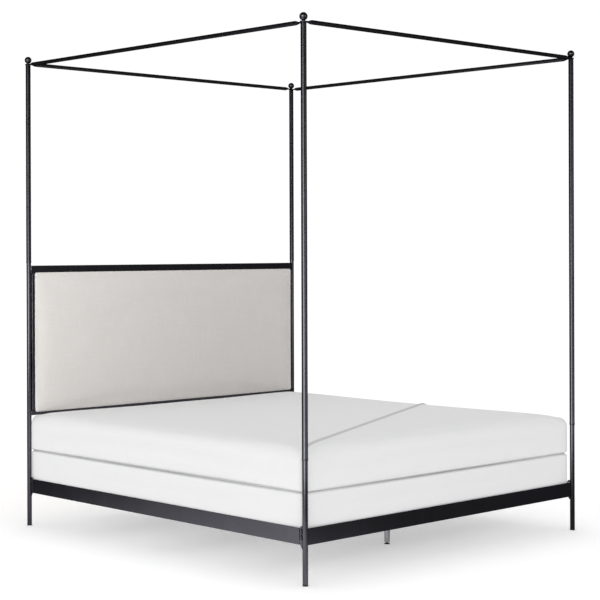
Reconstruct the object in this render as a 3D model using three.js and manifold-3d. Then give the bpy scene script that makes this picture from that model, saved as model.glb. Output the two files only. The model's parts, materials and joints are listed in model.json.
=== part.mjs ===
// Four poster canopy bed: a steel tube frame with an upholstered headboard, a box spring and a mattress.
// Millimetres, +Z up, origin on the floor under the middle of the bed, +Y towards the headboard.
import * as THREE from 'three';
import { mergeVertices } from 'three/addons/utils/BufferGeometryUtils.js';
import Module from 'manifold-3d';

const wasm = await Module();
wasm.setup();

// Driving dimensions. Everything else is worked out from these.
const postSpacing = { x: 1938, y: 2044 }; // between post axes
const clearance = 0.3; // between pieces that touch
const looseFit = 0.6; // radial room around a bolt or stud

const glide = { radius: 12.5, height: 8, stemRadius: 9.6, stemLength: 16 };
const lowerTube = { radius: 12, wall: 2 };
const upperTube = { radius: 13, wall: 2 };
const spigot = { radius: 10.7, wall: 1.9, length: 60, shoulder: 3 };
const jointHeight = { foot: 539, head: 1376 }; // where the canopy posts stand on the lower posts
const postTop = 2415.5;
const postCap = 6; // thickness of the plate that closes a canopy post
const studRadius = 4; // of every stud and bolt

const canopyTube = { radius: 10, wall: 1.5, taperStart: 52, taperEnd: 26 };
const tab = { thickness: 3, halfWidth: 14, overhang: 16 };
const ball = { radius: 18, neckRadius: 8, neckHeight: 3.2, studLength: 26 };

const rail = { bottom: 173, height: 72, flange: 36, thickness: 4, endGap: 22, ledgeGap: 8 };
const bracket = { thickness: 4, width: 17, below: 17, above: 9, corner: 11 };
const hook = { thickness: 4, reach: 52, bottom: 196, top: 242, drop: 6, lip: 3 };
const tongue = { width: 6, height: 10 };
const hookLevels = [200, 226]; // height of each tongue's underside

const support = { spacing: 620, width: 38, thickness: 4, web: 24, webInset: 130, boltInset: 17 };
const leg = { radius: 14, wall: 2, bottom: 10, plug: 6 };
const levelFoot = { radius: 13.5, height: 4, stemLength: 34 };
const bolt = { headRadius: 7.5, headHeight: 5 };

const headboard = { top: 1363, bottom: 577, bar: 24, topBar: 44, wall: 2, corner: 3 };
const pad = { overlap: 9, thickness: 15, corner: 12 };
const board = { thickness: 12 };

const bedding = { halfWidth: 961, foot: -1010, head: 1021, corner: 30, edge: 12 };
const boxSpringTop = 394.8;
const mattress = { halfWidth: 964, bottom: 395.2, top: 580, edge: 28 };

const postHalf = { x: postSpacing.x / 2, y: postSpacing.y / 2 };
const railInside = postHalf.x - rail.thickness / 2; // from the middle of the bed to a side rail's inner face
const boltLine = railInside - support.boltInset; // from the middle of the bed to the support bolts
const supportBottom = rail.bottom + rail.thickness + clearance;
const boltHole = studRadius + looseFit;

// Finishes
const finish = {
  metal: new THREE.MeshStandardMaterial({ color: 0x1d1d20, roughness: 0.38, metalness: 0.6 }),
  zinc: new THREE.MeshStandardMaterial({ color: 0x9a9b9c, roughness: 0.45, metalness: 0.9 }),
  plastic: new THREE.MeshStandardMaterial({ color: 0x161616, roughness: 0.6, metalness: 0 }),
  fastener: new THREE.MeshStandardMaterial({ color: 0x8b8c8e, roughness: 0.4, metalness: 0.9 }),
  plywood: new THREE.MeshStandardMaterial({ color: 0xc4a77d, roughness: 0.7, metalness: 0 }),
  upholstery: new THREE.MeshStandardMaterial({ color: 0xdad6ce, roughness: 0.9, metalness: 0 }),
  ticking: new THREE.MeshStandardMaterial({ color: 0xe9e9ea, roughness: 0.9, metalness: 0 }),
};

// Solids

function toSolid(geometry) {
  const plain = geometry.index ? geometry.toNonIndexed() : geometry.clone();
  plain.deleteAttribute('normal');
  plain.deleteAttribute('uv');
  const merged = mergeVertices(plain, 1e-4);
  return new wasm.Manifold(
    new wasm.Mesh({
      numProp: 3,
      vertProperties: new Float32Array(merged.attributes.position.array),
      triVerts: new Uint32Array(merged.index.array),
    }),
  );
}

function toGeometry(solid) {
  const mesh = solid.getMesh();
  const geometry = new THREE.BufferGeometry();
  geometry.setAttribute('position', new THREE.BufferAttribute(new Float32Array(mesh.vertProperties), 3));
  geometry.setIndex(new THREE.BufferAttribute(new Uint32Array(mesh.triVerts), 1));
  return geometry;
}

function join(geometries) {
  return toGeometry(geometries.map(toSolid).reduce((whole, next) => whole.add(next)));
}

function cut(geometry, tools) {
  return toGeometry(tools.map(toSolid).reduce((whole, tool) => whole.subtract(tool), toSolid(geometry)));
}

function box(width, depth, height, x, y, z) {
  return new THREE.BoxGeometry(width, depth, height).translate(x, y, z + height / 2);
}

// An upright cylinder standing on height z.
function peg(radius, height, x, y, z, sides = 16) {
  const cylinder = new THREE.CylinderGeometry(radius, radius, height, sides);
  return cylinder.rotateX(Math.PI / 2).translate(x, y, z + height / 2);
}

// A turned piece about the Z axis, from [radius, height] points.
function turned(profile, sides = 16) {
  const points = profile.map(([radius, height]) => new THREE.Vector2(radius, height));
  return new THREE.LatheGeometry(points, sides).rotateX(Math.PI / 2);
}

// A turned tube: the profile closes on itself.
function turnedRing(profile, sides = 16) {
  return turned([...profile, profile[0]], sides);
}

// Turns a piece extruded along Z so that it runs along X: drawn x becomes Y, drawn y becomes Z.
const alongX = new THREE.Matrix4().set(0, 0, 1, 0, 1, 0, 0, 0, 0, 1, 0, 0, 0, 0, 0, 1);

function outline(points) {
  return new THREE.Shape(points.map(([u, v]) => new THREE.Vector2(u, v)));
}

function roundedRectangle(width, height, radius) {
  const x = width / 2 - radius;
  const y = height / 2 - radius;
  const shape = new THREE.Shape();
  shape.absarc(x, y, radius, 0, Math.PI / 2);
  shape.absarc(-x, y, radius, Math.PI / 2, Math.PI);
  shape.absarc(-x, -y, radius, Math.PI, Math.PI * 1.5);
  shape.absarc(x, -y, radius, Math.PI * 1.5, Math.PI * 2);
  shape.closePath();
  return shape;
}

function extruded(shape, depth, curveSegments = 4) {
  return new THREE.ExtrudeGeometry(shape, { depth, bevelEnabled: false, curveSegments });
}

// An outline drawn in the Y-Z plane, centred on X = 0.
function plateAlongY(points, thickness) {
  return extruded(outline(points), thickness).translate(0, 0, -thickness / 2).applyMatrix4(alongX);
}

const bed = new THREE.Group();

function addPiece(group, name, geometry, material) {
  const mesh = new THREE.Mesh(geometry, material);
  mesh.name = name;
  group.add(mesh);
  return mesh;
}

// Posts

function glideGeometry() {
  const { radius, height, stemRadius, stemLength } = glide;
  return turned([
    [0, 0],
    [radius - 1.5, 0],
    [radius, 1.5],
    [radius, height - 2],
    [radius - 1.5, height],
    [stemRadius, height],
    [stemRadius, height + stemLength],
    [0, height + stemLength],
  ]);
}

// A tube with its upper end drawn down to a spigot.
function lowerPostGeometry(top) {
  const bottom = glide.height + clearance;
  const inside = lowerTube.radius - lowerTube.wall;
  const spigotInside = spigot.radius - spigot.wall;
  return turnedRing([
    [lowerTube.radius, bottom],
    [lowerTube.radius, top],
    [spigot.radius, top],
    [spigot.radius, top + spigot.length],
    [spigotInside, top + spigot.length],
    [spigotInside, top - spigot.shoulder],
    [inside, top - spigot.shoulder * 2],
    [inside, bottom],
  ]);
}

// A tube closed at the top by a plate with a hole for the finial's stud.
function canopyPostGeometry(bottom) {
  const inside = upperTube.radius - upperTube.wall;
  return turnedRing([
    [upperTube.radius, bottom + clearance],
    [upperTube.radius, postTop],
    [boltHole, postTop],
    [boltHole, postTop - postCap],
    [inside, postTop - postCap],
    [inside, bottom + clearance],
  ]);
}

const lowerTab = postTop + clearance; // underside of the lower tab
const upperTab = lowerTab + tab.thickness + clearance;
const finialBase = upperTab + tab.thickness + clearance;

function finialGeometry() {
  const sides = 10;
  const centre = finialBase + ball.neckHeight + Math.sqrt(ball.radius ** 2 - ball.neckRadius ** 2);
  const start = Math.asin(ball.neckRadius / ball.radius);
  const profile = [
    [0, finialBase - ball.studLength],
    [studRadius, finialBase - ball.studLength],
    [studRadius, finialBase],
    [ball.neckRadius, finialBase],
  ];
  for (let step = 0; step < sides; step += 1) {
    const angle = start + (step / sides) * (Math.PI - start);
    profile.push([ball.radius * Math.sin(angle), centre - ball.radius * Math.cos(angle)]);
  }
  profile.push([0, centre + ball.radius]);
  return turned(profile);
}

// The plate on a post that takes a side rail's hooks, with two slots.
function bracketGeometry() {
  const start = lowerTube.radius + clearance;
  const end = start + bracket.width;
  const bottom = rail.bottom - bracket.below;
  const top = rail.bottom + rail.height + bracket.above;
  const plate = plateAlongY(
    [
      [start, bottom],
      [end - bracket.corner, bottom],
      [end, bottom + bracket.corner * 1.6],
      [end, top - bracket.corner / 2],
      [end - bracket.corner / 2, top],
      [start, top],
    ],
    bracket.thickness,
  );
  const slotDepth = bracket.thickness * 3;
  const slotHeight = tongue.height + hook.drop + 2;
  const slots = hookLevels.map((level) =>
    box(slotDepth, tongue.width + 2, slotHeight, 0, start + bracket.width / 2, level - clearance),
  );
  return cut(plate, slots);
}

// The plate welded inside a side rail's end: two tongues pass through the bracket and turn down outside it.
function hookGeometry(inboard) {
  const start = lowerTube.radius + clearance + 2;
  const middle = lowerTube.radius + clearance + bracket.width / 2;
  const face = bracket.thickness / 2 + clearance; // from the bracket's middle plane to each side of it
  const plate = box(hook.thickness, hook.reach - start, hook.top - hook.bottom,
    inboard * (face + hook.thickness / 2), (start + hook.reach) / 2, hook.bottom);
  const tongues = hookLevels.flatMap((level) => [
    box(2 * face + 2, tongue.width, tongue.height, 0, middle, level),
    box(hook.lip, tongue.width, tongue.height + hook.drop, -inboard * (face + hook.lip / 2), middle,
      level - hook.drop),
  ]);
  return join([plate, ...tongues]);
}

const corners = [
  { name: 'foot_left', x: -1, y: -1, joint: jointHeight.foot },
  { name: 'foot_right', x: 1, y: -1, joint: jointHeight.foot },
  { name: 'head_left', x: -1, y: 1, joint: jointHeight.head },
  { name: 'head_right', x: 1, y: 1, joint: jointHeight.head },
];

for (const corner of corners) {
  const group = new THREE.Group();
  group.position.set(corner.x * postHalf.x, corner.y * postHalf.y, 0);
  group.rotation.z = corner.y < 0 ? 0 : Math.PI; // local +Y points along the side rail
  const inboard = corner.x * corner.y;
  addPiece(group, `${corner.name}_glide`, glideGeometry(), finish.plastic);
  addPiece(group, `${corner.name}_lower_post`, lowerPostGeometry(corner.joint), finish.metal);
  addPiece(group, `${corner.name}_canopy_post`, canopyPostGeometry(corner.joint), finish.metal);
  addPiece(group, `${corner.name}_ball_finial`, finialGeometry(), finish.metal);
  addPiece(group, `${corner.name}_rail_bracket`, bracketGeometry(), finish.metal);
  addPiece(group, `${corner.name}_rail_hook`, hookGeometry(inboard), finish.metal);
  bed.add(group);
}

// Canopy rails: round tube along X whose ends taper and are pressed flat into tabs.

// Half width, half height and flatness of the section, at a distance from the tube's tip.
function canopySections() {
  const { halfWidth, thickness, overhang } = tab;
  const flatEnd = overhang + canopyTube.taperEnd;
  const roundStart = overhang + canopyTube.taperStart;
  const sections = [0.04, 0.3, 1].map((part) => ({
    at: halfWidth * part,
    wide: halfWidth * Math.sqrt(1 - (1 - part) ** 2),
    high: thickness / 2,
    flat: 1,
  }));
  sections[0].at = 0;
  sections.push({ at: flatEnd, wide: halfWidth, high: thickness / 2, flat: 1 });
  for (const part of [0.35, 0.7, 1]) {
    const ease = part * part * (3 - 2 * part);
    sections.push({
      at: THREE.MathUtils.lerp(flatEnd, roundStart, part),
      wide: THREE.MathUtils.lerp(halfWidth, canopyTube.radius, ease),
      high: THREE.MathUtils.lerp(thickness / 2, canopyTube.radius, ease),
      flat: 1 - ease,
    });
  }
  return sections;
}

function canopyRailGeometry(holeSpacing) {
  const sides = 16;
  const length = holeSpacing + tab.overhang * 2;
  const near = canopySections().map((section) => ({ ...section, x: -length / 2 + section.at }));
  const far = near.map((section) => ({ ...section, x: -section.x })).reverse();
  const sections = [...near, ...far];
  const steps = sections.length - 1;
  const tube = new THREE.CylinderGeometry(1, 1, steps, sides, steps).rotateZ(Math.PI / 2);
  const position = tube.attributes.position;
  const point = new THREE.Vector3();
  for (let i = 0; i < position.count; i += 1) {
    point.fromBufferAttribute(position, i);
    const section = sections[Math.round(point.x + steps / 2)];
    const height = point.z * section.high * (1 + section.flat);
    const capped = THREE.MathUtils.clamp(height, -section.high, section.high);
    position.setXYZ(i, section.x, point.y * section.wide, capped);
  }
  const bore = new THREE.CylinderGeometry(1, 1, length - 2 * (tab.overhang + canopyTube.taperStart), sides)
    .rotateZ(Math.PI / 2)
    .scale(1, canopyTube.radius - canopyTube.wall, canopyTube.radius - canopyTube.wall);
  const holes = [-1, 1].map((end) =>
    peg(boltHole, tab.thickness * 3, (end * holeSpacing) / 2, 0, -tab.thickness * 1.5),
  );
  const vent = peg(2.5, canopyTube.radius * 1.2, holeSpacing / 2 - 90, 0, -canopyTube.radius * 1.2, 8);
  return cut(tube, [bore, vent, ...holes]);
}

const lowerRailHeight = lowerTab + tab.thickness / 2;
const upperRailHeight = upperTab + tab.thickness / 2;
for (const side of [-1, 1]) {
  const along = addPiece(bed, side < 0 ? 'left_canopy_rail' : 'right_canopy_rail',
    canopyRailGeometry(postSpacing.y), finish.metal);
  along.position.set(side * postHalf.x, 0, lowerRailHeight);
  along.rotation.z = Math.PI / 2;
  const across = addPiece(bed, side < 0 ? 'foot_canopy_rail' : 'head_canopy_rail',
    canopyRailGeometry(postSpacing.x), finish.metal);
  across.position.set(0, side * postHalf.y, upperRailHeight);
}

// Bed rails: a flat bar on edge, with a ledge welded along the inside of its foot.

const ledgeWidth = rail.flange - rail.thickness;

// A bar on edge along X, its middle plane at Y = 0.
function railBar(length) {
  return box(length, rail.thickness, rail.height, 0, 0, 0);
}

// The ledge that goes with it, towards +Y.
function railLedge(length) {
  return box(length, ledgeWidth, rail.thickness, 0, (rail.flange + clearance) / 2, 0);
}

// What the posts take out of a piece that runs between them.
function postCutters(height, y, z) {
  return [-1, 1].map((end) => peg(lowerTube.radius + clearance, height, end * postHalf.x, y, z));
}

function endBarGeometry(postOffset) {
  const bar = railBar(postSpacing.x - lowerTube.radius);
  return cut(bar, postCutters(rail.height * 2, postOffset, -rail.height / 2));
}

function sideLedgeGeometry(length) {
  const holes = [-1, 0, 1].map((place) =>
    peg(boltHole, rail.thickness * 3, place * support.spacing, postHalf.x - boltLine, -rail.thickness, 12),
  );
  return cut(railLedge(length), holes);
}

const sideRailLength = postSpacing.y - 2 * (lowerTube.radius + rail.endGap);
const endLedgeLength = postSpacing.x - 2 * (rail.flange + rail.ledgeGap);
const bedRails = [
  {
    name: 'foot_rail',
    x: 0,
    y: -postHalf.y,
    turn: 0,
    bar: endBarGeometry(0),
    ledge: railLedge(endLedgeLength),
  },
  {
    name: 'head_cross_rail',
    x: 0,
    y: postHalf.y + rail.thickness,
    turn: Math.PI,
    bar: endBarGeometry(rail.thickness),
    ledge: railLedge(endLedgeLength),
  },
  {
    name: 'left_side_rail',
    x: -postHalf.x,
    y: 0,
    turn: -Math.PI / 2,
    bar: railBar(sideRailLength),
    ledge: sideLedgeGeometry(sideRailLength),
  },
  {
    name: 'right_side_rail',
    x: postHalf.x,
    y: 0,
    turn: Math.PI / 2,
    bar: railBar(sideRailLength),
    ledge: sideLedgeGeometry(sideRailLength),
  },
];

for (const { name, x, y, turn, bar, ledge } of bedRails) {
  const group = new THREE.Group();
  group.position.set(x, y, rail.bottom);
  group.rotation.z = turn;
  addPiece(group, name, bar, finish.metal);
  addPiece(group, `${name}_ledge`, ledge, finish.metal);
  bed.add(group);
}

// Cross supports under the box spring, each with a leg in the middle.

function supportGeometry() {
  const length = (railInside - 2) * 2;
  const webLength = (railInside - support.webInset) * 2;
  const plate = box(length, support.width, support.thickness, 0, 0, 0);
  const web = box(webLength, support.thickness, support.web + 1, 0, (support.width - support.thickness) / 2,
    -support.web);
  const holes = [-1, 1].map((end) =>
    peg(boltHole, support.thickness * 3, end * boltLine, 0, -support.thickness, 12),
  );
  return cut(join([plate, web]), holes);
}

// A tube with a plug in its foot, threaded for the levelling foot.
function legGeometry() {
  const inside = leg.radius - leg.wall;
  return turnedRing([
    [leg.radius, leg.bottom],
    [leg.radius, supportBottom - clearance],
    [inside, supportBottom - clearance],
    [inside, leg.bottom + leg.plug],
    [boltHole, leg.bottom + leg.plug],
    [boltHole, leg.bottom],
  ]);
}

function levelFootGeometry() {
  const { radius, height, stemLength } = levelFoot;
  return turned([
    [0, 0],
    [radius - 1.5, 0],
    [radius, 1.5],
    [radius, height - 1.5],
    [radius - 1.5, height],
    [studRadius, height],
    [studRadius, height + stemLength],
    [0, height + stemLength],
  ]);
}

function boltGeometry() {
  const shank = rail.thickness + support.thickness + clearance;
  const head = peg(bolt.headRadius, bolt.headHeight, 0, 0, -bolt.headHeight - clearance, 6);
  return join([head, peg(studRadius, shank + 1, 0, 0, -clearance - 1, 12)]);
}

const supports = [
  { name: 'foot', y: -support.spacing },
  { name: 'middle', y: 0 },
  { name: 'head', y: support.spacing },
];

for (const { name, y } of supports) {
  const crossSupport = addPiece(bed, `${name}_cross_support`, supportGeometry(), finish.metal);
  crossSupport.position.set(0, y, supportBottom);
  const centreLeg = addPiece(bed, `${name}_centre_leg`, legGeometry(), finish.zinc);
  centreLeg.position.set(0, y, 0);
  const levelling = addPiece(bed, `${name}_levelling_foot`, levelFootGeometry(), finish.plastic);
  levelling.position.set(0, y, 0);
  for (const side of [-1, 1]) {
    const screwName = `${name}_${side < 0 ? 'left' : 'right'}_support_bolt`;
    const screw = addPiece(bed, screwName, boltGeometry(), finish.fastener);
    screw.position.set(side * boltLine, y, rail.bottom);
  }
}

// Headboard: a frame of square tube between the head posts, and an upholstered panel on it.

function hollowBar(width, height, length) {
  const shape = roundedRectangle(width, height, headboard.corner);
  const inner = headboard.wall;
  shape.holes.push(roundedRectangle(width - 2 * inner, height - 2 * inner, headboard.corner - inner));
  return extruded(shape, length, 2).translate(0, 0, -length / 2);
}

function crossBarGeometry(height) {
  const bar = hollowBar(headboard.bar, height, postSpacing.x - lowerTube.radius).applyMatrix4(alongX);
  return cut(bar, postCutters(height * 2, 0, -height));
}

const frameInside = { bottom: headboard.bottom + headboard.bar, top: headboard.top - headboard.topBar };
const sideBarX = postHalf.x - lowerTube.radius - clearance - headboard.bar / 2;

const topBar = addPiece(bed, 'headboard_top_bar', crossBarGeometry(headboard.topBar), finish.metal);
topBar.position.set(0, postHalf.y, headboard.top - headboard.topBar / 2);
const bottomBar = addPiece(bed, 'headboard_bottom_bar', crossBarGeometry(headboard.bar), finish.metal);
bottomBar.position.set(0, postHalf.y, headboard.bottom + headboard.bar / 2);
for (const side of [-1, 1]) {
  const length = frameInside.top - frameInside.bottom - 2 * clearance;
  const sideBar = addPiece(bed, `headboard_${side < 0 ? 'left' : 'right'}_bar`,
    hollowBar(headboard.bar, headboard.bar, length), finish.metal);
  sideBar.position.set(side * sideBarX, postHalf.y, (frameInside.top + frameInside.bottom) / 2);
}

const frameFront = postHalf.y - headboard.bar / 2;
const opening = {
  x: 2 * (sideBarX - headboard.bar / 2),
  z: frameInside.top - frameInside.bottom,
};
const middleHeight = (frameInside.top + frameInside.bottom) / 2;
const plywood = addPiece(bed, 'headboard_board',
  new THREE.BoxGeometry(opening.x - 2, board.thickness, opening.z - 2), finish.plywood);
plywood.position.set(0, frameFront + clearance + board.thickness / 2, middleHeight);

const padShape = roundedRectangle(opening.x + 2 * pad.overlap, opening.z + 2 * pad.overlap, pad.corner);
const upholstery = addPiece(bed, 'headboard_pad',
  extruded(padShape, pad.thickness - clearance, 4).rotateX(Math.PI / 2), finish.upholstery);
upholstery.position.set(0, frameFront - clearance, middleHeight);

// Box spring and mattress: slabs with rounded corners and edges.

const beddingLength = bedding.head - bedding.foot;
const boxSpringBottom = supportBottom + support.thickness + clearance;

function slabGeometry(halfWidth, bottom, top, edge) {
  return new THREE.ExtrudeGeometry(roundedRectangle(halfWidth * 2, beddingLength, bedding.corner), {
    depth: top - bottom - 2 * edge,
    bevelThickness: edge,
    bevelSize: edge,
    bevelOffset: -edge,
    bevelSegments: 3,
    curveSegments: 4,
  }).translate(0, (bedding.head + bedding.foot) / 2, bottom + edge);
}

const boxSpring = slabGeometry(bedding.halfWidth, boxSpringBottom, boxSpringTop, bedding.edge);
addPiece(bed, 'box_spring', boxSpring, finish.ticking);
const mattressSlab = slabGeometry(mattress.halfWidth, mattress.bottom, mattress.top, mattress.edge);
addPiece(bed, 'mattress', mattressSlab, finish.ticking);

export default bed;
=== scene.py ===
import json
import math

import bmesh
import bpy
from mathutils import Matrix, Vector

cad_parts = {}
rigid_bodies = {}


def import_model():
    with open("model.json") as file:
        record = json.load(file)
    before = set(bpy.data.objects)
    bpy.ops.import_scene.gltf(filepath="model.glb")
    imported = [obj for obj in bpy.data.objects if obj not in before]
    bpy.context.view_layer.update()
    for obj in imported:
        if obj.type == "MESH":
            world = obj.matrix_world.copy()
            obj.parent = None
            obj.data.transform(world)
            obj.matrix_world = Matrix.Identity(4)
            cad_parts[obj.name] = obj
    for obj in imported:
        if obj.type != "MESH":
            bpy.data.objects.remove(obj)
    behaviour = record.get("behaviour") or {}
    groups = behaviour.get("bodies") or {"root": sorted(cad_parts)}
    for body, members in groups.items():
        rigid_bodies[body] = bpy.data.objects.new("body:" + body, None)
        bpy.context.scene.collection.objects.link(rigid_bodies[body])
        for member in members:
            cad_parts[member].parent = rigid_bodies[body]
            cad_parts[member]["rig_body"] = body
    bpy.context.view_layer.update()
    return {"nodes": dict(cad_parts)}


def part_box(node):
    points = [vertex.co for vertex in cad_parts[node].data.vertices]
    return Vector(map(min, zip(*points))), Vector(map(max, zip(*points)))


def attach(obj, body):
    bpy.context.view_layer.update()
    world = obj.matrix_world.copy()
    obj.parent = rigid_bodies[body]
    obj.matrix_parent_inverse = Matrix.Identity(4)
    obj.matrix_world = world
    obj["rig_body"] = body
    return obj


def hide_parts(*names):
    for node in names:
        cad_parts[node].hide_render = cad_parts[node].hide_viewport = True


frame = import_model()
scene = bpy.context.scene
nodes = frame["nodes"]

camera = {
    "place": (-5.6805, -5.7298, 1.4398),
    "turn": 42.654,  # degrees to the right of the bed's length
    "roll": 0.193,
    "lens": 93.2,
    "sensor": 36,
    "shift": (0.1, -0.0828),
}


def makeCamera():
    data = bpy.data.cameras.new("camera")
    data.sensor_width = camera["sensor"]
    data.lens = camera["lens"]
    data.shift_x, data.shift_y = camera["shift"]
    data.clip_start, data.clip_end = 0.1, 200
    eye = bpy.data.objects.new("camera", data)
    eye.location = camera["place"]
    eye.rotation_euler = (math.pi / 2, math.radians(camera["roll"]), -math.radians(camera["turn"]))
    scene.collection.objects.link(eye)
    scene.camera = eye


makeCamera()
print("camera placed")


def addNode(tree, kind, inputs=None, **settings):
    made = tree.nodes.new(kind)
    for name, value in settings.items():
        setattr(made, name, value)
    for name, value in (inputs or {}).items():
        socket = made.inputs[name]
        if isinstance(value, bpy.types.NodeSocket):
            tree.links.new(value, socket)
        else:
            socket.default_value = value
    return made


def calculate(tree, operation, *values):
    made = tree.nodes.new("ShaderNodeMath")
    made.operation = operation
    for socket, value in zip(made.inputs, values):
        if isinstance(value, bpy.types.NodeSocket):
            tree.links.new(value, socket)
        else:
            socket.default_value = value
    return made.outputs[0]


def mixColour(tree, amount, first, second):
    made = tree.nodes.new("ShaderNodeMix")
    made.data_type = "RGBA"
    for socket, value in ((made.inputs[0], amount), (made.inputs[6], first), (made.inputs[7], second)):
        if isinstance(value, bpy.types.NodeSocket):
            tree.links.new(value, socket)
        else:
            socket.default_value = value
    return made.outputs[2]


def spread(tree, value, low, high):
    made = addNode(tree, "ShaderNodeMapRange", {"Value": value, "To Min": low, "To Max": high})
    return made.outputs[0]


def newGroup(name, inputs, outputs):
    group = bpy.data.node_groups.new(name, "ShaderNodeTree")
    for label, kind, value in inputs:
        socket = group.interface.new_socket(label, in_out="INPUT", socket_type=kind)
        if value is not None:
            socket.default_value = value
    for label, kind in outputs:
        group.interface.new_socket(label, in_out="OUTPUT", socket_type=kind)
    return group, group.nodes.new("NodeGroupInput").outputs, group.nodes.new("NodeGroupOutput").inputs


def useGroup(tree, group, inputs):
    made = tree.nodes.new("ShaderNodeGroup")
    made.node_tree = group
    for name, value in inputs.items():
        if isinstance(value, bpy.types.NodeSocket):
            tree.links.new(value, made.inputs[name])
        else:
            made.inputs[name].default_value = value
    return made.outputs


# Uneven coating: broad clouds, fine orange peel, and a mask for rubbed edges.
def makeCoatingGroup():
    group, given, out = newGroup(
        "coating",
        [
            ("Vector", "NodeSocketVector", None),
            ("Cloud Scale", "NodeSocketFloat", 9),
            ("Peel Scale", "NodeSocketFloat", 900),
            ("Edge", "NodeSocketFloat", 0),
        ],
        [("Clouds", "NodeSocketFloat"), ("Peel", "NodeSocketFloat"), ("Rub", "NodeSocketFloat")],
    )
    at = given["Vector"]
    clouds = addNode(group, "ShaderNodeTexNoise", {
        "Vector": at, "Scale": given["Cloud Scale"], "Detail": 5, "Roughness": 0.55})
    peel = addNode(group, "ShaderNodeTexNoise", {"Vector": at, "Scale": given["Peel Scale"], "Detail": 2})
    scuffs = addNode(group, "ShaderNodeTexNoise", {
        "Vector": at, "Scale": 45, "Detail": 6, "Roughness": 0.7})
    patchy = addNode(group, "ShaderNodeMapRange", {
        "Value": scuffs.outputs[0], "From Min": 0.5, "From Max": 0.68})
    rub = calculate(group, "MULTIPLY", patchy.outputs[0], given["Edge"])
    group.links.new(clouds.outputs[0], out["Clouds"])
    group.links.new(peel.outputs[0], out["Peel"])
    group.links.new(rub, out["Rub"])
    return group


# Plain weave that lies flat on whichever side of a piece it is on.
def makeWeaveGroup():
    group, given, out = newGroup(
        "weave",
        [
            ("Vector", "NodeSocketVector", None),
            ("Facing", "NodeSocketVector", None),
            ("Thread Pitch", "NodeSocketFloat", 0.002),
            ("Slub Length", "NodeSocketFloat", 0.05),
        ],
        [("Height", "NodeSocketFloat"), ("Slubs", "NodeSocketFloat"), ("Mottle", "NodeSocketFloat")],
    )
    at = addNode(group, "ShaderNodeSeparateXYZ", {"Vector": given["Vector"]}).outputs
    facing = addNode(group, "ShaderNodeSeparateXYZ", {"Vector": given["Facing"]}).outputs
    isSide = calculate(group, "GREATER_THAN", calculate(group, "ABSOLUTE", facing[0]), 0.7)
    isTop = calculate(group, "GREATER_THAN", calculate(group, "ABSOLUTE", facing[2]), 0.7)
    across = addNode(group, "ShaderNodeMix", {0: isSide, 2: at[0], 3: at[1]}).outputs[0]
    along = addNode(group, "ShaderNodeMix", {0: isTop, 2: at[2], 3: at[1]}).outputs[0]
    turns = calculate(group, "DIVIDE", math.pi, given["Thread Pitch"])
    warp = calculate(group, "SINE", calculate(group, "MULTIPLY", across, turns))
    weft = calculate(group, "SINE", calculate(group, "MULTIPLY", along, turns))
    crossing = calculate(group, "MULTIPLY", warp, weft)
    height = calculate(group, "MULTIPLY_ADD", crossing, 0.5, 0.5)
    fine = calculate(group, "DIVIDE", 1, given["Thread Pitch"])
    long = calculate(group, "DIVIDE", 1, given["Slub Length"])
    slubs = []
    for first, second in ((fine, long), (long, fine)):
        place = addNode(group, "ShaderNodeCombineXYZ", {
            "X": calculate(group, "MULTIPLY", across, first),
            "Y": calculate(group, "MULTIPLY", along, second),
        })
        noise = addNode(group, "ShaderNodeTexNoise", {
            "Vector": place.outputs[0], "Scale": 0.5, "Detail": 2})
        slubs.append(noise.outputs[0])
    thick = calculate(group, "MAXIMUM", *slubs)
    mottle = addNode(group, "ShaderNodeTexNoise", {
        "Vector": given["Vector"], "Scale": 7, "Detail": 4, "Roughness": 0.6})
    group.links.new(height, out["Height"])
    group.links.new(thick, out["Slubs"])
    group.links.new(mottle.outputs[0], out["Mottle"])
    return group


coatingGroup = makeCoatingGroup()
weaveGroup = makeWeaveGroup()


def newMaterial(name, settings):
    material = bpy.data.materials.new(name)
    material.use_nodes = True
    tree = material.node_tree
    shader = tree.nodes["Principled BSDF"]
    for label, value in settings.items():
        shader.inputs[label].default_value = value
    place = tree.nodes.new("ShaderNodeTexCoord").outputs
    return material, tree, shader, place


def edgeOf(tree):
    return addNode(tree, "ShaderNodeAttribute", attribute_name="edge").outputs["Fac"]


def link(tree, value, socket):
    tree.links.new(value, socket)


def addBump(tree, shader, height, distance):
    bump = addNode(tree, "ShaderNodeBump", {"Height": height, "Distance": distance})
    link(tree, bump.outputs[0], shader.inputs["Normal"])


satinBlack = {
    "deep": (0.056, 0.055, 0.064, 1),
    "pale": (0.084, 0.083, 0.096, 1),
    "rubbed": (0.17, 0.165, 0.16, 1),
    "roughness": (0.23, 0.32),
    "edgeTint": (0.22, 0.22, 0.25, 1),
    "peelHeight": 0.000006,
}


def makeFrameMetal():
    material, tree, shader, place = newMaterial(
        "satin_black_metal", {"Metallic": 1.0, "Specular Tint": satinBlack["edgeTint"]})
    coating = useGroup(tree, coatingGroup, {"Vector": place["Object"], "Edge": edgeOf(tree)})
    body = mixColour(tree, coating["Clouds"], satinBlack["deep"], satinBlack["pale"])
    colour = mixColour(tree, coating["Rub"], body, satinBlack["rubbed"])
    link(tree, colour, shader.inputs["Base Color"])
    link(tree, spread(tree, coating["Clouds"], *satinBlack["roughness"]), shader.inputs["Roughness"])
    addBump(tree, shader, coating["Peel"], satinBlack["peelHeight"])
    return material


galvanised = {
    "dark": (0.30, 0.31, 0.32, 1),
    "light": (0.56, 0.57, 0.58, 1),
    "roughness": (0.32, 0.5),
    "spangleScale": 130,
    "cloudScale": 30,
    "peelHeight": 0.00003,
}


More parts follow.
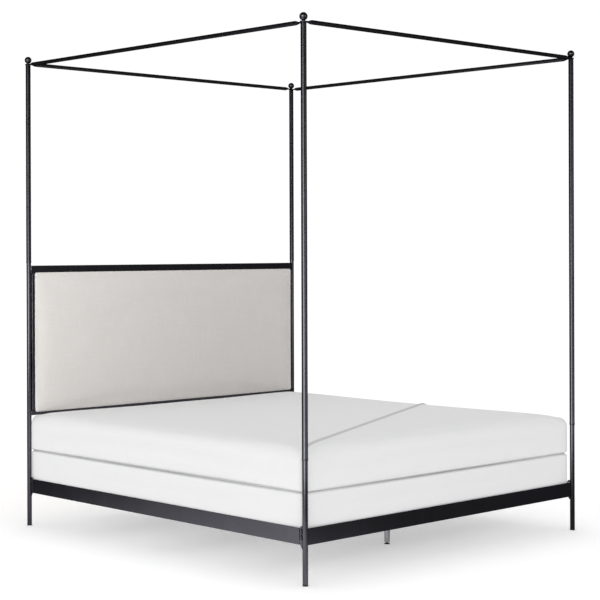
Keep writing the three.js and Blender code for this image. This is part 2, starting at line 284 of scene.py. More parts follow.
def makeGalvanised():
    material, tree, shader, place = newMaterial("galvanised_steel", {"Metallic": 1.0})
    coating = useGroup(tree, coatingGroup, {
        "Vector": place["Object"], "Cloud Scale": galvanised["cloudScale"]})
    spangle = addNode(tree, "ShaderNodeTexVoronoi", {
        "Vector": place["Object"], "Scale": galvanised["spangleScale"]})
    grey = addNode(tree, "ShaderNodeSeparateColor", {"Color": spangle.outputs["Color"]}).outputs[0]
    clouds = calculate(tree, "MULTIPLY", coating["Clouds"], 0.5)
    mottled = calculate(tree, "MULTIPLY_ADD", grey, 0.5, clouds)
    colour = mixColour(tree, mottled, galvanised["dark"], galvanised["light"])
    link(tree, colour, shader.inputs["Base Color"])
    link(tree, spread(tree, mottled, *galvanised["roughness"]), shader.inputs["Roughness"])
    addBump(tree, shader, coating["Peel"], galvanised["peelHeight"])
    return material


fastenerZinc = {
    "dull": (0.36, 0.36, 0.35, 1),
    "bright": (0.62, 0.62, 0.6, 1),
    "roughness": (0.25, 0.42),
    "cloudScale": 160,
    "peelHeight": 0.00002,
}


def makeFastener():
    material, tree, shader, place = newMaterial("zinc_plate", {"Metallic": 1.0})
    coating = useGroup(tree, coatingGroup, {
        "Vector": place["Object"], "Cloud Scale": fastenerZinc["cloudScale"]})
    colour = mixColour(tree, coating["Clouds"], fastenerZinc["dull"], fastenerZinc["bright"])
    link(tree, colour, shader.inputs["Base Color"])
    link(tree, spread(tree, coating["Clouds"], *fastenerZinc["roughness"]), shader.inputs["Roughness"])
    addBump(tree, shader, coating["Peel"], fastenerZinc["peelHeight"])
    return material


blackPlastic = {
    "base": (0.012, 0.012, 0.012, 1),
    "scuffed": (0.05, 0.05, 0.048, 1),
    "roughness": (0.5, 0.7),
    "cloudScale": 60,
    "stippleScale": 1600,
    "stipple": 0.00006,
}


def makePlastic():
    material, tree, shader, place = newMaterial("black_plastic", {"Specular IOR Level": 0.4})
    coating = useGroup(tree, coatingGroup, {
        "Vector": place["Object"],
        "Cloud Scale": blackPlastic["cloudScale"],
        "Peel Scale": blackPlastic["stippleScale"],
        "Edge": edgeOf(tree),
    })
    colour = mixColour(tree, coating["Rub"], blackPlastic["base"], blackPlastic["scuffed"])
    link(tree, colour, shader.inputs["Base Color"])
    link(tree, spread(tree, coating["Clouds"], *blackPlastic["roughness"]), shader.inputs["Roughness"])
    addBump(tree, shader, coating["Peel"], blackPlastic["stipple"])
    return material


plywood = {
    "pale": (0.62, 0.50, 0.34, 1),
    "grain": (0.50, 0.375, 0.235, 1),
    "stretch": (3, 60, 90),  # the grain runs across the bed
    "roughness": (0.55, 0.75),
    "grainHeight": 0.0002,
}


def makePlywood():
    material, tree, shader, place = newMaterial("bare_plywood", {"Specular IOR Level": 0.3})
    mapped = addNode(tree, "ShaderNodeMapping", {"Vector": place["Object"], "Scale": plywood["stretch"]})
    bands = addNode(tree, "ShaderNodeTexNoise", {
        "Vector": mapped.outputs[0], "Scale": 0.6, "Detail": 6, "Roughness": 0.6, "Distortion": 0.8})
    pores = addNode(tree, "ShaderNodeTexNoise", {"Vector": mapped.outputs[0], "Scale": 9, "Detail": 3})
    broad = calculate(tree, "MULTIPLY", bands.outputs[0], 0.65)
    grain = calculate(tree, "MULTIPLY_ADD", pores.outputs[0], 0.35, broad)
    sharp = addNode(tree, "ShaderNodeMapRange", {"Value": grain, "From Min": 0.36, "From Max": 0.64})
    colour = mixColour(tree, sharp.outputs[0], plywood["pale"], plywood["grain"])
    link(tree, colour, shader.inputs["Base Color"])
    link(tree, spread(tree, grain, *plywood["roughness"]), shader.inputs["Roughness"])
    addBump(tree, shader, grain, plywood["grainHeight"])
    return material


def makeCloth(name, look):
    material, tree, shader, place = newMaterial(name, {
        "Specular IOR Level": look["gloss"],
        "Sheen Weight": look["sheen"],
        "Sheen Roughness": 0.5,
    })
    weave = useGroup(tree, weaveGroup, {
        "Vector": place["Object"],
        "Facing": place["Normal"],
        "Thread Pitch": look["threadPitch"],
        "Slub Length": look["slubLength"],
    })
    mottled = mixColour(tree, weave["Mottle"], look["shade"], look["body"])
    flecked = addNode(tree, "ShaderNodeMapRange", {
        "Value": weave["Slubs"], "From Min": 0.5, "From Max": 0.75, "To Max": look["fleck"]})
    slubbed = mixColour(tree, flecked.outputs[0], mottled, look["slub"])
    # The low parts of the weave are mixed toward the deep colour by the gap amount: painted shade between
    # the threads.
    thread_gap_shade = spread(tree, weave["Height"], look["gap"], 0.0)
    link(tree, mixColour(tree, thread_gap_shade, slubbed, look["deep"]), shader.inputs["Base Color"])
    link(tree, spread(tree, weave["Mottle"], *look["roughness"]), shader.inputs["Roughness"])
    relief = calculate(tree, "MULTIPLY_ADD", weave["Slubs"], 0.6, weave["Height"])
    addBump(tree, shader, relief, look["threadHeight"])
    return material


linen = {
    "body": (0.540, 0.518, 0.500, 1),
    "shade": (0.498, 0.476, 0.457, 1),
    "slub": (0.600, 0.578, 0.560, 1),
    # deep is the painted shade colour between the threads; gap is how much of it the lowest parts of the
    # weave take.
    "deep": (0.30, 0.285, 0.27, 1),
    "fleck": 0.5,
    "gap": 0.16,
    "threadPitch": 0.0022,
    "slubLength": 0.05,
    "threadHeight": 0.00035,
    "roughness": (0.82, 0.95),
    "gloss": 0.2,
    "sheen": 0.12,
}
ticking = {
    "body": (0.80, 0.80, 0.805, 1),
    "shade": (0.775, 0.775, 0.78, 1),
    "slub": (0.83, 0.83, 0.835, 1),
    # deep is the painted shade colour between the threads; gap is how much of it the lowest parts of the
    # weave take.
    "deep": (0.60, 0.60, 0.61, 1),
    "fleck": 0.3,
    "gap": 0.07,
    "threadPitch": 0.0032,
    "slubLength": 0.03,
    "threadHeight": 0.0002,
    "roughness": (0.8, 0.92),
    "gloss": 0.2,
    "sheen": 0.05,
}
# The grey of this tape is painted shade: it darkens the crease line across the mattress top and the seam
# above the box spring.
seamShadeTape = {
    "body": (0.60, 0.60, 0.605, 1),
    "shade": (0.56, 0.56, 0.565, 1),
    "slub": (0.65, 0.65, 0.655, 1),
    # deep is the painted shade colour between the threads; gap is how much of it the lowest parts of the
    # weave take.
    "deep": (0.45, 0.45, 0.46, 1),
    "fleck": 0.3,
    "gap": 0.12,
    "threadPitch": 0.0014,
    "slubLength": 0.02,
    "threadHeight": 0.0002,
    "roughness": (0.8, 0.92),
    "gloss": 0.2,
    "sheen": 0.05,
}

finishes = {
    "frame_metal": makeFrameMetal(),
    "galvanised_leg": makeGalvanised(),
    "fastener": makeFastener(),
    "glide_plastic": makePlastic(),
    "plywood": makePlywood(),
    "headboard_fabric": makeCloth("cream_linen", linen),
    "ticking": makeCloth("white_ticking", ticking),
}
seamShadeFinish = makeCloth("seam_shade_grey_tape", seamShadeTape)
print("finishes made")


def finishPiece(made, name, slot, replaced, finish=None, body=None):
    mesh = bpy.data.meshes.new(name)
    made.to_mesh(mesh)
    made.free()
    piece = bpy.data.objects.new(name, mesh)
    scene.collection.objects.link(piece)
    mesh.materials.append(finish or finishes[slot])
    if replaced:
        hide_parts(*replaced)
    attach(piece, body or nodes[replaced[0]]["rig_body"])
    return piece


# Rounds the sharp edges of a piece, and marks the new faces so that a finish can wear there.
def softenEdges(made, width, segments=2, sharpness=30):
    edge = made.faces.layers.float.get("edge") or made.faces.layers.float.new("edge")
    sharp = [e for e in made.edges if len(e.link_faces) == 2
             and e.calc_face_angle(0) > math.radians(sharpness)]
    rounded = bmesh.ops.bevel(made, geom=sharp, offset=width, offset_type="OFFSET", affect="EDGES",
                              segments=segments, profile=0.5, material=-1, clamp_overlap=True)
    for face in rounded["faces"]:
        face.smooth = True
        face[edge] = 1.0


# A round piece about an upright axis, from (radius, height) points. Width 0 leaves its edges as drawn.
def turnedMesh(profile, axis, steps, edgeWidth):
    made = bmesh.new()
    points = [made.verts.new((radius, 0, height)) for radius, height in profile]
    lines = [made.edges.new(pair) for pair in zip(points, points[1:])]
    bmesh.ops.spin(made, geom=points + lines, cent=(0, 0, 0), axis=(0, 0, 1), angle=math.tau,
                   steps=steps, use_merge=True)
    bmesh.ops.remove_doubles(made, verts=made.verts[:], dist=1e-6)
    bmesh.ops.recalc_face_normals(made, faces=made.faces[:])
    for face in made.faces:
        face.smooth = abs(face.normal.z) < 0.999
    if edgeWidth:
        softenEdges(made, edgeWidth)
    bmesh.ops.translate(made, vec=(axis[0], axis[1], 0), verts=made.verts[:])
    return made


# A square bar or plate with rounded edges, filling a box.
def barMesh(low, high, edgeWidth, segments=3):
    made = bmesh.new()
    bmesh.ops.create_cube(made, size=1)
    bmesh.ops.scale(made, vec=high - low, verts=made.verts[:])
    bmesh.ops.translate(made, vec=(low + high) / 2, verts=made.verts[:])
    softenEdges(made, edgeWidth, segments)
    return made


# A merged copy of a CAD node with its sharp edges broken.
def brokenEdgeMesh(node, edgeWidth):
    made = bmesh.new()
    made.from_mesh(nodes[node].data)
    bmesh.ops.remove_doubles(made, verts=made.verts[:], dist=1e-5)
    flat = math.radians(1)
    bmesh.ops.dissolve_limit(made, angle_limit=flat, verts=made.verts[:], edges=made.edges[:])
    softenEdges(made, edgeWidth)
    return made


def middleOf(node):
    low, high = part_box(node)
    return (low + high) / 2


post = {
    "lowerRadius": 0.012,
    "upperRadius": 0.013,
    "wall": 0.002,
    "upperWall": 0.0025,
    "spigotHeight": 0.012,
    "collarHeight": 0.007,
    "collarStep": 0.0006,
    "collarSlope": 0.0012,
    "seamGap": (0.0005, 0.0002),  # across and up, where the spigot starts
    "lowerEdge": 0.0004,
    "upperEdge": 0.0005,
    "steps": 48,
}
glideShape = {
    "gap": 0.0003,  # below the tube
    "footEdge": 0.0012,
    "shoulder": 0.0015,
    "grooveDepth": 0.0005,
    "grooveHalf": 0.0008,
    "grooveAt": 0.0036,
}
finial = {
    "ballRadius": 0.018,
    "neckRadius": 0.008,
    "neckWaist": 0.0065,
    "neckHeight": 0.0032,
    "lipHeight": 0.0009,
    "waistHeight": 0.0017,
    "arcSteps": 22,
}
plateEdges = {"rail_bracket": 0.0007, "rail_hook": 0.0006}
cornerNames = ("foot_left", "foot_right", "head_left", "head_right")


def makeGlide(corner, axis):
    low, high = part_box(f"{corner}_glide")
    radius = (high.x - low.x) / 2
    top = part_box(f"{corner}_lower_post")[0].z - glideShape["gap"]
    groove, half = glideShape["grooveAt"], glideShape["grooveHalf"]
    made = turnedMesh([
        (0, 0),
        (radius - glideShape["footEdge"], 0),
        (radius, glideShape["footEdge"]),
        (radius, groove - half),
        (radius - glideShape["grooveDepth"], groove),
        (radius, groove + half),
        (radius, top - glideShape["shoulder"]),
        (radius - glideShape["footEdge"], top),
        (0, top),
    ], axis, post["steps"], 0)
    finishPiece(made, f"{corner}_foot_glide", "glide_plastic", [f"{corner}_glide"])


def makePost(corner, axis):
    lower, upper = f"{corner}_lower_post", f"{corner}_canopy_post"
    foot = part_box(lower)[0].z
    joint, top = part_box(upper)[0].z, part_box(upper)[1].z
    radius, inner = post["lowerRadius"], post["lowerRadius"] - post["wall"]
    outward, upward = post["seamGap"]
    made = turnedMesh([
        (inner, foot),
        (radius, foot),
        (radius, joint),
        (inner + outward, joint + upward),
        (inner, joint + post["spigotHeight"]),
        (inner - post["wall"], joint + post["spigotHeight"]),
    ], axis, post["steps"], post["lowerEdge"])
    finishPiece(made, f"{corner}_post_foot_tube", "frame_metal", [lower])
    radius = post["upperRadius"]
    collar = radius + post["collarStep"]
    made = turnedMesh([
        (radius - post["upperWall"], joint),
        (collar, joint),
        (collar, joint + post["collarHeight"]),
        (radius, joint + post["collarHeight"] + post["collarSlope"]),
        (radius, top),
        (0, top),
    ], axis, post["steps"], post["upperEdge"])
    finishPiece(made, f"{corner}_post_canopy_tube", "frame_metal", [upper])


def makeFinial(corner, axis):
    node = f"{corner}_ball_finial"
    radius, neck = finial["ballRadius"], finial["neckRadius"]
    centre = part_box(node)[1].z - radius
    base = centre - math.sqrt(radius ** 2 - neck ** 2) - finial["neckHeight"]
    start = math.asin(neck / radius)
    profile = [
        (0, base),
        (neck, base),
        (neck, base + finial["lipHeight"]),
        (finial["neckWaist"], base + finial["waistHeight"]),
    ]
    for step in range(finial["arcSteps"] + 1):
        angle = start + (math.pi - start) * step / finial["arcSteps"]
        profile.append((radius * math.sin(angle), centre - radius * math.cos(angle)))
    profile[-1] = (0, centre + radius)
    finishPiece(turnedMesh(profile, axis, post["steps"], 0), f"{corner}_ball", "frame_metal", [node])


for corner in cornerNames:
    axis = middleOf(f"{corner}_ball_finial")
    makeGlide(corner, axis)
    makePost(corner, axis)
    makeFinial(corner, axis)
    for plate, width in plateEdges.items():
        made = brokenEdgeMesh(f"{corner}_{plate}", width)
        finishPiece(made, f"{corner}_{plate}_plate", "frame_metal", [f"{corner}_{plate}"])
print("posts made")

canopy = {
    "radius": 0.010,
    "tabHalfWidth": 0.014,
    "tabThickness": 0.003,
    "tabEnd": 0.042,  # from the tip to where the flat tab starts to swell
    "roundFrom": 0.068,  # from the tip to where the tube is round
    "sides": 40,
    "tipSteps": 6,
    "taperSteps": 10,
}


# How far along, how wide, how high and how flat the tube is at each step from its tip.
def canopySteps():
    wide, thin = canopy["tabHalfWidth"], canopy["tabThickness"] / 2
    steps = []
    for step in range(1, canopy["tipSteps"] + 1):
        angle = math.pi / 2 * step / canopy["tipSteps"]
        steps.append((wide * (1 - math.cos(angle)), wide * math.sin(angle), thin, 1))
    for step in range(canopy["taperSteps"] + 1):
        part = step / canopy["taperSteps"]
        ease = part * part * (3 - 2 * part)
        steps.append((
            canopy["tabEnd"] + (canopy["roundFrom"] - canopy["tabEnd"]) * part,
            wide + (canopy["radius"] - wide) * ease,
            thin + (canopy["radius"] - thin) * ease,
            1 - ease,
        ))
    return steps


def makeCanopyRail(node):
    low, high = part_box(node)
    size = high - low
    alongY = size.y > size.x
    length = max(size.x, size.y)
    steps = [(at - length / 2, wide, tall, flat) for at, wide, tall, flat in canopySteps()]
    steps += [(-at, wide, tall, flat) for at, wide, tall, flat in reversed(steps)]
    made = bmesh.new()
    bmesh.ops.create_circle(made, cap_ends=True, segments=canopy["sides"], radius=1)
    bmesh.ops.rotate(made, matrix=Matrix.Rotation(math.pi / 2, 3, "Y"), verts=made.verts[:])
    ring = made.verts[:]
    unit = [v.co.copy() for v in ring]
    for number, (at, wide, tall, flat) in enumerate(steps):
        if number:
            edges = [e for e in made.edges if all(v in ring for v in e.verts)]
            grown = bmesh.ops.extrude_edge_only(made, edges=edges)["geom"]
            fresh = [g for g in grown if isinstance(g, bmesh.types.BMVert)]
            before = {v: i for i, v in enumerate(ring)}
            order = [0] * len(ring)
            for v in fresh:
                old = next(e.other_vert(v) for e in v.link_edges if e.other_vert(v) in before)
                order[before[old]] = v
            ring = order
        for v, place in zip(ring, unit):
            height = max(-tall, min(tall, place.z * tall * (1 + flat)))
            v.co = (at, place.y * wide, height)
    bmesh.ops.contextual_create(made, geom=ring)
    bmesh.ops.recalc_face_normals(made, faces=made.faces[:])
    for face in made.faces:
        face.smooth = True
    if alongY:
        bmesh.ops.rotate(made, matrix=Matrix.Rotation(math.pi / 2, 3, "Z"), verts=made.verts[:])
    bmesh.ops.translate(made, vec=(low + high) / 2, verts=made.verts[:])
    finishPiece(made, f"{node}_tube", "frame_metal", [node])


for node in ("left_canopy_rail", "right_canopy_rail", "foot_canopy_rail", "head_canopy_rail"):
    makeCanopyRail(node)
print("canopy made")

edgeWidths = {
    "rail": 0.0008,
    "ledge": 0.0006,
    "support": 0.0006,
    "bolt": 0.0006,
    "bar": 0.003,
    "board": 0.0008,
}

for node in ("foot_rail", "head_cross_rail", "left_side_rail", "right_side_rail"):
    low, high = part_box(node)
    finishPiece(barMesh(low, high, edgeWidths["rail"]), f"{node}_bar", "frame_metal", [node])
    made = brokenEdgeMesh(f"{node}_ledge", edgeWidths["ledge"])
    finishPiece(made, f"{node}_ledge_strip", "frame_metal", [f"{node}_ledge"])

centreLeg = {"wall": 0.002, "lip": 0.0008, "bore": 0.0046}
levelFoot = {"height": 0.004, "rim": 0.001, "stem": 0.004, "crown": 0.0003}

for place in ("foot", "middle", "head"):
    made = brokenEdgeMesh(f"{place}_cross_support", edgeWidths["support"])
    finishPiece(made, f"{place}_support_angle", "frame_metal", [f"{place}_cross_support"])
    node = f"{place}_centre_leg"
    low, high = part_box(node)
    axis = (low + high) / 2
    radius = (high.x - low.x) / 2
    made = turnedMesh([
        (centreLeg["bore"], low.z),
        (radius - centreLeg["lip"], low.z),
        (radius, low.z + centreLeg["lip"]),
        (radius, high.z),
        (radius - centreLeg["wall"], high.z),
    ], axis, post["steps"], 0)
    finishPiece(made, f"{place}_leg_tube", "galvanised_leg", [node])
    node = f"{place}_levelling_foot"
    low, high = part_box(node)
    radius, rim = (high.x - low.x) / 2, levelFoot["rim"]
    height, stem = levelFoot["height"], levelFoot["stem"]
    made = turnedMesh([
        (0, 0),
        (radius - rim, 0),
        (radius, rim),
        (radius, height - rim),
        (radius - rim, height),
        (stem, height + levelFoot["crown"]),
        (stem, high.z),
        (0, high.z),
    ], axis, post["steps"], 0)
    finishPiece(made, f"{place}_screw_foot", "glide_plastic", [node])
    for side in ("left", "right"):
        node = f"{place}_{side}_support_bolt"
        finishPiece(brokenEdgeMesh(node, edgeWidths["bolt"]), f"{node}_head", "fastener", [node])

for bar in ("top", "bottom", "left", "right"):
    node = f"headboard_{bar}_bar"
    low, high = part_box(node)
    finishPiece(barMesh(low, high, edgeWidths["bar"]), f"{node}_tube", "frame_metal", [node])

low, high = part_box("headboard_board")
board = barMesh(low, high, edgeWidths["board"])
finishPiece(board, "headboard_back_board", "plywood", ["headboard_board"])
print("frame made")

# Sizes are for the cover before it is filled. Inset is the gap to the box of the CAD part, given
# like rounding as (low side, high side) for each axis.
mattress = {
    "inset": ((0.0, 0.0), (-0.002, 0.0), (0.0, 0.0)),
    "rounding": ((0.038, 0.038), (0.036, 0.012), (0.013, 0.050)),
    "cells": (64, 68, 16),
    "arcCells": (6, 6, 5),
    "pressure": 0.45,
    "stiffness": 12,
    "frames": 16,
    "swell": 0.010,
    "droop": 0.005,
    "droopReach": 0.15,
    "tuckReach": 0.002,  # in front of the headboard's lower bar
    "tuckGap": 0.001,
    "cornerHold": 0.03,
    "flat": (2, -1),  # axis and side that rests on something
}
boxSpring = {
    "inset": ((0.001, 0.001), (-0.001, 0.001), (0.0, 0.0)),
    "rounding": ((0.032, 0.032), (0.032, 0.010), (0.016, 0.013)),
    "cells": (56, 60, 16),
    "arcCells": (6, 6, 4),
    "pressure": 0.3,
    "stiffness": 12,
    "frames": 16,
    "swell": 0.007,
    "droop": 0,
    "cornerHold": 0.03,
    "flat": (2, -1),
}
headboardPad = {
    "inset": ((0.001, 0.001), (0.003, 0.0), (0.001, 0.001)),
    "rounding": ((0.013, 0.013), (0.009, 0.002), (0.013, 0.013)),
    "cells": (96, 8, 44),
    "arcCells": (5, 3, 5),
    "pressure": 0.6,
    "stiffness": 20,
    "frames": 16,
    "swell": 0.007,
    "droop": 0,
    "cornerHold": 0.012,
    "flat": (1, 1),
}


# Where step number goes along one axis: the middle of its arc, and how far round the arc it is.
def alongAxis(number, cells, arc, low, high, rounding):
    if number < arc:
        return low + rounding[0], number / arc - 1
    if number > cells - arc:
        return high - rounding[1], (number - cells + arc) / arc
    part = (number - arc) / (cells - 2 * arc)
    return low + rounding[0] + part * (high - rounding[1] - low - rounding[0]), 0.0


# A slab with rounded edges and corners in an even grid of four-sided faces.
def slabMesh(low, high, look):
    low = Vector(low[i] + look["inset"][i][0] for i in range(3))
    high = Vector(high[i] - look["inset"][i][1] for i in range(3))
    made = bmesh.new()
    bmesh.ops.create_cube(made, size=1)
    for i in range(3):
        lines = [e for e in made.edges if abs((e.verts[0].co - e.verts[1].co).normalized()[i]) > 0.9]
        bmesh.ops.subdivide_edges(made, edges=lines, cuts=look["cells"][i] - 1, use_grid_fill=True)
    for v in made.verts:
        inner, offset = Vector(), Vector()
        for i in range(3):
            cells, arc = look["cells"][i], look["arcCells"][i]
            number = round((v.co[i] + 0.5) * cells)
            inner[i], part = alongAxis(number, cells, arc, low[i], high[i], look["rounding"][i])
            offset[i] = math.tan(part * math.pi / 4)
        offset.normalize()
        for i in range(3):
            offset[i] *= look["rounding"][i][offset[i] > 0]
        v.co = inner + offset
    bmesh.ops.recalc_face_normals(made, faces=made.faces[:])
    for face in made.faces:
        face.smooth = True
    return made


filling = {
    "heldDepth": 0.002,  # of the side that rests on something
    "quality": 4,
    "mass": 0.3,
    "bending": 0.6,
    "leastMove": 1e-7,
}


# Fills a cover by cloth simulation with air pressure. The resting side and the corners are held.
def fillCover(piece, look):
    cover = bpy.data.objects.new("cover", piece.data.copy())
    scene.collection.objects.link(cover)
    axis, side = look["flat"]
    rest = [v.co.copy() for v in cover.data.vertices]
    limit = max(side * p[axis] for p in rest) - filling["heldDepth"]
    first, second = (i for i in range(3) if i != axis)
    middle = Vector((min(p[i] for p in rest) + max(p[i] for p in rest)) / 2 for i in range(3))
    reach = [max(p[i] for p in rest) - middle[i] - look["cornerHold"] for i in range(3)]
    still = []
    for i, p in enumerate(rest):
        corner = all(abs(p[k] - middle[k]) > reach[k] for k in (first, second))
        if side * p[axis] > limit or corner:
            still.append(i)
    held = cover.vertex_groups.new(name="held")
    held.add(still, 1.0, "REPLACE")
    modifier = cover.modifiers.new("Cloth", "CLOTH")
    cloth = modifier.settings
    cloth.quality = filling["quality"]
    cloth.mass = filling["mass"]
    cloth.tension_stiffness = cloth.compression_stiffness = look["stiffness"]
    cloth.shear_stiffness = look["stiffness"] / 2
    cloth.bending_stiffness = filling["bending"]
    cloth.use_pressure = True
    cloth.uniform_pressure_force = look["pressure"]
    cloth.effector_weights.gravity = 0
    cloth.vertex_group_mass = "held"
    modifier.collision_settings.use_collision = False
    modifier.collision_settings.use_self_collision = False
    for number in range(1, look["frames"] + 1):
        scene.frame_set(number)
    swollen = cover.evaluated_get(bpy.context.evaluated_depsgraph_get()).to_mesh()
    most = 0.0
    for v, full, start in zip(piece.data.vertices, swollen.vertices, rest):
        move = full.co - start
        most = max(most, move.length)
        if move.length > filling["leastMove"]:
            swell = look["swell"] * math.tanh(move.length / look["swell"])
            v.co = start + move.normalized() * swell
    print(f"{piece.name} filled, {most * 1000:.1f} mm before the limit")
    scene.frame_set(1)
    bpy.data.objects.remove(cover)


# Lets the corners of the top hang a little, as they do where the filling is thin.
def droopCorners(piece, look):
    low = Vector(min(v.co[i] for v in piece.data.vertices) for i in range(3))
    high = Vector(max(v.co[i] for v in piece.data.vertices) for i in range(3))
    for v in piece.data.vertices:
        across = min(v.co.x - low.x, high.x - v.co.x)
        along = min(v.co.y - low.y, high.y - v.co.y)
        away = math.hypot(across, along)
        near = max(0, 1 - away / look["droopReach"])
        lift = max(0, (v.co.z - low.z) / (high.z - low.z))
        v.co.z -= look["droop"] * near * near * (3 - 2 * near) * lift


# Presses the head end of the mattress down where it goes under the headboard's lower bar.
def tuckUnder(piece, bar):
    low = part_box(bar)[0]
    for v in piece.data.vertices:
        if v.co.y > low.y - mattress["tuckReach"]:
            v.co.z = min(v.co.z, low.z - mattress["tuckGap"])


def makeSoftPiece(node, name, slot, look):
    piece = finishPiece(slabMesh(*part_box(node), look), name, slot, [node])
    fillCover(piece, look)
    if look["droop"]:
        droopCorners(piece, look)
    smooth = piece.modifiers.new("Subdivision", "SUBSURF")
    smooth.levels = smooth.render_levels = 1
    return piece


makeSoftPiece("headboard_pad", "headboard_cushion", "headboard_fabric", headboardPad)
makeSoftPiece("box_spring", "box_spring_cover", "ticking", boxSpring)
bedding = makeSoftPiece("mattress", "mattress_cover", "ticking", mattress)
tuckUnder(bedding, "headboard_bottom_bar")
print("soft pieces made")

welt = {
    "start": (0.064, 0.056),  # from the foot left corner, past the rounding
    "end": (0.018, 0.94),  # from the right edge, and along it from the foot
    "radius": 0.0085,
    "rise": -0.0010,  # of its middle above the cover
    "steps": 90,
    "sides": 12,
    "castFrom": 0.1,  # above the mattress
}


# The raised welt that crosses the top, laid on the filled cover. Its grey tape finish is painted shade
# for the dark crease line.
def makeWelt():
    bpy.context.view_layer.update()
    shape = bedding.evaluated_get(bpy.context.evaluated_depsgraph_get())
    low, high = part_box("mattress")
    start = Vector((low.x + welt["start"][0], low.y + welt["start"][1], 0))
    end = Vector((high.x - welt["end"][0], low.y + welt["end"][1], 0))
    across = (end - start).normalized()
    side = Vector((-across.y, across.x, 0))
    made = bmesh.new()
    bmesh.ops.create_circle(made, cap_ends=True, segments=welt["sides"], radius=welt["radius"])
    turn = Matrix((side, Vector((0, 0, 1)), across)).transposed()
    bmesh.ops.rotate(made, matrix=turn, verts=made.verts[:])
    ring = made.verts[:]
    last = None
    for number in range(welt["steps"] + 1):
        part = number / welt["steps"]
        place = start.lerp(end, part)
        above = Vector((place.x, place.y, high.z + welt["castFrom"]))
        found, at, *_ = shape.ray_cast(above, Vector((0, 0, -1)))
        place.z = (at.z if found else high.z) + welt["rise"]
        if number == 0:
            bmesh.ops.translate(made, vec=place, verts=ring)
        else:
            edges = [e for e in made.edges if all(v in ring for v in e.verts)]
            grown = bmesh.ops.extrude_edge_only(made, edges=edges)["geom"]
            ring = [g for g in grown if isinstance(g, bmesh.types.BMVert)]
            bmesh.ops.translate(made, vec=place - last, verts=ring)
        last = place
    bmesh.ops.contextual_create(made, geom=ring)
    bmesh.ops.recalc_face_normals(made, faces=made.faces[:])
    for face in made.faces:
        face.smooth = True
    finishPiece(made, "mattress_welt", "ticking", [], finish=seamShadeFinish, body="mattress")


makeWelt()

# Grey piping set back into the seam above the box spring: a dark cord that stands for the shade in that
# seam.
piping = {
    "radius": 0.0024,
    "inset": 0.0125,  # of its middle from the side of the cover
    "rise": 0.0024,  # of its middle above the joint with the box spring
    "cornerSteps": 8,
    "sides": 10,
}


# The middle line of the piping: the outline of the bedding, a little inside it, at one height.
def pipingRoute(node, look, height):
    low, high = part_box(node)
    points = []
    corners = ((1, 1), (-1, 1), (-1, -1), (1, -1))
    for number, (right, head) in enumerate(corners):
        reach = look["rounding"][0][right > 0], look["rounding"][1][head > 0]
        edge = (high.x if right > 0 else low.x), (high.y if head > 0 else low.y)
        centre = edge[0] - right * reach[0], edge[1] - head * reach[1]
        for step in range(piping["cornerSteps"] + 1):
            angle = math.pi / 2 * (number + step / piping["cornerSteps"])
            points.append(Vector((
                centre[0] + math.cos(angle) * max(0, reach[0] - piping["inset"]),
                centre[1] + math.sin(angle) * max(0, reach[1] - piping["inset"]),
                height,
            )))
    return points


def makePiping(node, look, name):
    route = pipingRoute(node, look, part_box(node)[0].z + piping["rise"])
    line = bpy.data.curves.new(name, "CURVE")
    line.dimensions = "3D"
    line.bevel_depth = piping["radius"]
    line.bevel_resolution = (piping["sides"] - 4) // 2
    spline = line.splines.new("POLY")
    spline.points.add(len(route) - 1)
    spline.use_cyclic_u = True
    for point, place in zip(spline.points, route):
        point.co = (*place, 1)
    shape = bpy.data.objects.new(name, line)
    made = bmesh.new()
    made.from_mesh(bpy.data.meshes.new_from_object(shape))
    bpy.data.objects.remove(shape)
    bmesh.ops.recalc_face_normals(made, faces=made.faces[:])
    for face in made.faces:
        face.smooth = True
    finishPiece(made, name, "ticking", [], finish=seamShadeFinish, body=node)


makePiping("mattress", mattress, "mattress_piping")
print("welt and piping made")

studio = {
    "floorSize": 60,
    "floorColour": (0.92, 0.92, 0.92, 1),
    "floorGlow": (0.215, 0.30),  # near the bed, and far from it
    "floorFade": (2.5, 7.0),
    "mirrorPool": (-2.2, -0.6),  # where the floor looks brightest in the metal
    "mirrorReach": 2.9,
    "mirrorGlow": (0.16, 2.3),
    "worldSeen": 1.02,
    "worldAround": 0.82,
    "worldMirrored": 0.10,
}
panels = [
    {
        "name": "left_panel",
        "place": (-6.5, -0.5, 2.0),
        "aim": (0, 0, 0.9),
        "size": (9, 3.2),
        "radiance": 0.72,
    },
    {
        "name": "front_panel",
        "place": (-5.2, -7.6, 2.6),
        "aim": (0, 0, 0.9),
        "size": (3.4, 3.4),
        "radiance": 2.0,
    },
    {
        "name": "top_panel",
        "place": (0.6, 0.6, 4.6),
        "aim": (0, 0, 0),
        "size": (3.2, 3.2),
        "radiance": 0.55,
        "glossy": False,
    },
    {
        "name": "right_reflector",
        "place": (1.0, -7.8, 3.0),
        "aim": (0, 0, 1.2),
        "size": (4, 4.2),
        "radiance": 1.5,
        "diffuse": False,
    },
    {
        "name": "left_reflector",
        "place": (-7.6, -3.2, 3.0),
        "aim": (0, 0, 1.2),
        "size": (5, 5),
        "radiance": 6.0,
        "diffuse": False,
    },
    {
        "name": "headboard_panel",
        "place": (-2.6, -0.9, 1.5),
        "aim": (-0.9, 1, 0.96),
        "size": (1.2, 1.6),
        "radiance": 7.4,
        "only": "headboard_cushion",
    },
]


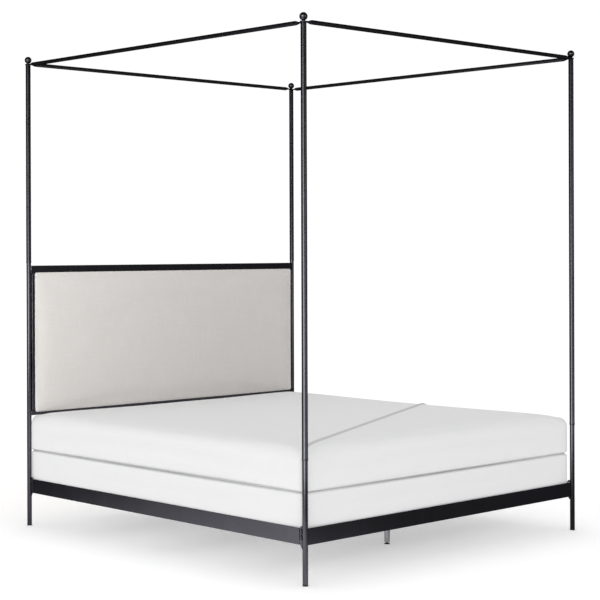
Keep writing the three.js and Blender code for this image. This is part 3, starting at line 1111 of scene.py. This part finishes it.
# The floor looks white, but the metal mirrors only a pool of it.
def makeFloor():
    made = bmesh.new()
    bmesh.ops.create_grid(made, x_segments=1, y_segments=1, size=studio["floorSize"] / 2)
    mesh = bpy.data.meshes.new("floor")
    made.to_mesh(mesh)
    made.free()
    floor = bpy.data.objects.new("floor", mesh)
    scene.collection.objects.link(floor)
    material, tree, shader, place = newMaterial("studio_floor", {
        "Roughness": 0.9,
        "Specular IOR Level": 0.0,
        "Emission Color": (1, 1, 1, 1),
    })
    mirrored = tree.nodes.new("ShaderNodeLightPath").outputs["Is Glossy Ray"]
    colour = mixColour(tree, mirrored, studio["floorColour"], (0, 0, 0, 1))
    link(tree, colour, shader.inputs["Base Color"])
    away = addNode(tree, "ShaderNodeVectorMath", {
        0: place["Object"],
        1: (*studio["mirrorPool"], 0),
    }, operation="DISTANCE").outputs["Value"]
    fade = addNode(tree, "ShaderNodeMapRange", {
        "Value": away,
        "From Max": studio["mirrorReach"],
        "To Min": studio["mirrorGlow"][1],
        "To Max": studio["mirrorGlow"][0],
    }, interpolation_type="SMOOTHSTEP").outputs[0]
    out = addNode(tree, "ShaderNodeVectorMath", {0: place["Object"]}, operation="LENGTH")
    white = addNode(tree, "ShaderNodeMapRange", {
        "Value": out.outputs["Value"],
        "From Min": studio["floorFade"][0],
        "From Max": studio["floorFade"][1],
        "To Min": studio["floorGlow"][0],
        "To Max": studio["floorGlow"][1],
    }).outputs[0]
    glow = addNode(tree, "ShaderNodeMix", {0: mirrored, 2: white, 3: fade}).outputs[0]
    link(tree, glow, shader.inputs["Emission Strength"])
    mesh.materials.append(material)


def makeWorld():
    world = bpy.data.worlds.new("studio")
    scene.world = world
    world.use_nodes = True
    tree = world.node_tree
    sky = tree.nodes["Background"]
    sky.inputs["Color"].default_value = (1, 1, 1, 1)
    path = tree.nodes.new("ShaderNodeLightPath").outputs
    unseen = spread(tree, path["Is Glossy Ray"], studio["worldAround"], studio["worldMirrored"])
    seen = studio["worldSeen"]
    strength = addNode(tree, "ShaderNodeMix", {0: path["Is Camera Ray"], 2: unseen, 3: seen}).outputs[0]
    link(tree, strength, sky.inputs["Strength"])


def makePanel(panel):
    data = bpy.data.lights.new(panel["name"], "AREA")
    data.shape = "RECTANGLE"
    data.size, data.size_y = panel["size"]
    data.energy = panel["radiance"] * math.pi * data.size * data.size_y
    lamp = bpy.data.objects.new(panel["name"], data)
    lamp.location = panel["place"]
    toward = Vector(panel["aim"]) - lamp.location
    lamp.rotation_euler = toward.to_track_quat("-Z", "Y").to_euler()
    lamp.visible_camera = False
    lamp.visible_glossy = panel.get("glossy", True)
    lamp.visible_diffuse = panel.get("diffuse", True)
    scene.collection.objects.link(lamp)
    if "only" in panel:
        lit = bpy.data.collections.new(f"lit_by_{panel['name']}")
        lit.objects.link(bpy.data.objects[panel["only"]])
        lamp.light_linking.receiver_collection = lit


makeFloor()
makeWorld()
for panel in panels:
    makePanel(panel)
scene.view_settings.view_transform = "Standard"
print("studio made")
